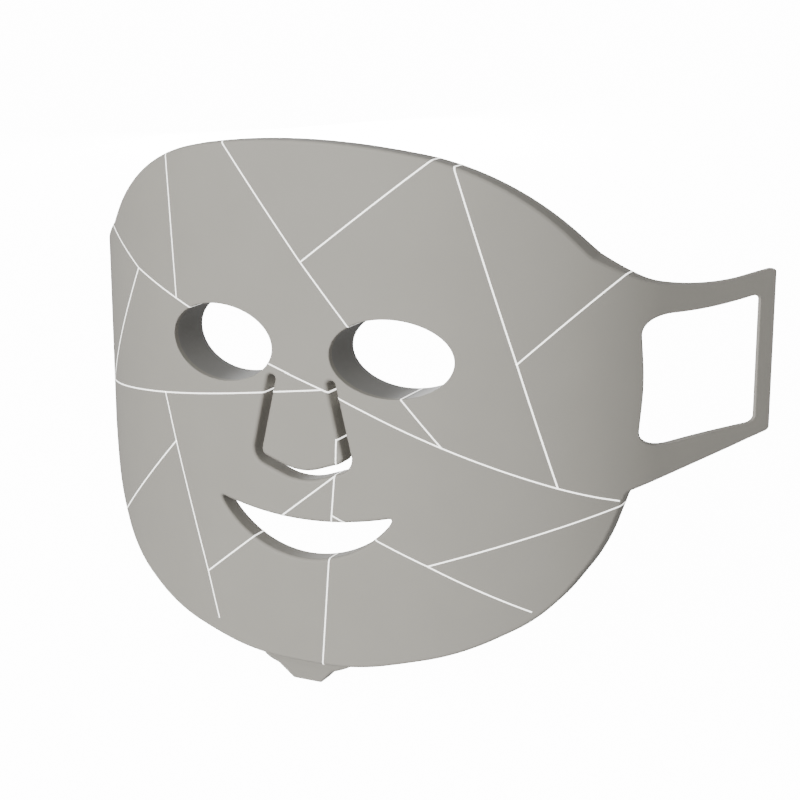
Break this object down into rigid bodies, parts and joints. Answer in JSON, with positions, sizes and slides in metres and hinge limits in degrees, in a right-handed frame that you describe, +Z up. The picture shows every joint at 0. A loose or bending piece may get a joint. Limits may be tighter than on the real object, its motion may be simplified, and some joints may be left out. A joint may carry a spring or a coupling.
{
  "type": "led face mask",
  "caption": "Curved silicone light therapy face mask with oval eye shields, a hinged nose flap, a crescent mouth, strap wings and a chin power inlet.",
  "frame": {"origin": "skin side of the mask on its midline, at the height of the eyes", "axes": "+Z up, +Y from the mask towards the wearer's head, so the front looks along -Y; +X to the right as seen from the front"},
  "size_m": [0.2764, 0.1044, 0.1939],
  "materials": {
    "grey_silicone": "matte warm grey silicone",
    "shield_silicone": "matte grey silicone",
    "liner_silicone": "soft matte silicone",
    "white_silicone": "matte white silicone",
    "clear_silicone": "clear soft silicone",
    "circuit_film": "white coated circuit film",
    "red_diode": "clear red resin",
    "infrared_diode": "clear pale resin",
    "dark_ceramic": "dark ceramic",
    "dark_plastic": "moulded black plastic",
    "bright_steel": "drawn stainless steel",
    "gilt_contact": "gilt contact"
  },
  "bodies": {
    "mask": {"front_cover": "grey_silicone", "back_liner": "liner_silicone", "left_eye_shield": "shield_silicone", "right_eye_shield": "shield_silicone", "flex_board": "circuit_film", "red_leds": "red_diode", "infrared_leds": "infrared_diode", "light_windows": "clear_silicone", "board_resistors": "dark_ceramic", "board_clamp": "dark_plastic", "feed_tail": "circuit_film", "inlet_housing": "grey_silicone", "inlet_shell": "bright_steel", "inlet_tongue": "dark_plastic", "inlet_contacts": "gilt_contact", "forehead_lines": "white_silicone", "cheek_lines": "white_silicone", "jaw_lines": "white_silicone"},
    "nose_flap": {"nose_flap_cover": "grey_silicone", "nose_flap_liner": "liner_silicone", "nose_flap_board": "circuit_film", "nose_flap_leds": "red_diode", "nose_flap_windows": "clear_silicone", "nose_flap_lines": "white_silicone"},
    "left_wing": {"left_wing": "grey_silicone"},
    "right_wing": {"right_wing": "grey_silicone"}
  },
  "joints": [
    {"name": "nose_flap_flex", "type": "hinge", "parent": "mask", "child": "nose_flap", "pos_m": [0, -0.00375, -0.009], "axis": [-1, 0, 0], "range_deg": [-10, 30], "stiffness_Nm_per_rad": 0.03},
    {"name": "left_wing_flex", "type": "hinge", "parent": "mask", "child": "left_wing", "pos_m": [-0.10416, 0.03488, 0], "axis": [0, 0, -1], "range_deg": [-40, 25], "stiffness_Nm_per_rad": 0.03},
    {"name": "right_wing_flex", "type": "hinge", "parent": "mask", "child": "right_wing", "pos_m": [0.10416, 0.03488, 0], "axis": [0, 0, 1], "range_deg": [-40, 25], "stiffness_Nm_per_rad": 0.03}
  ]
}
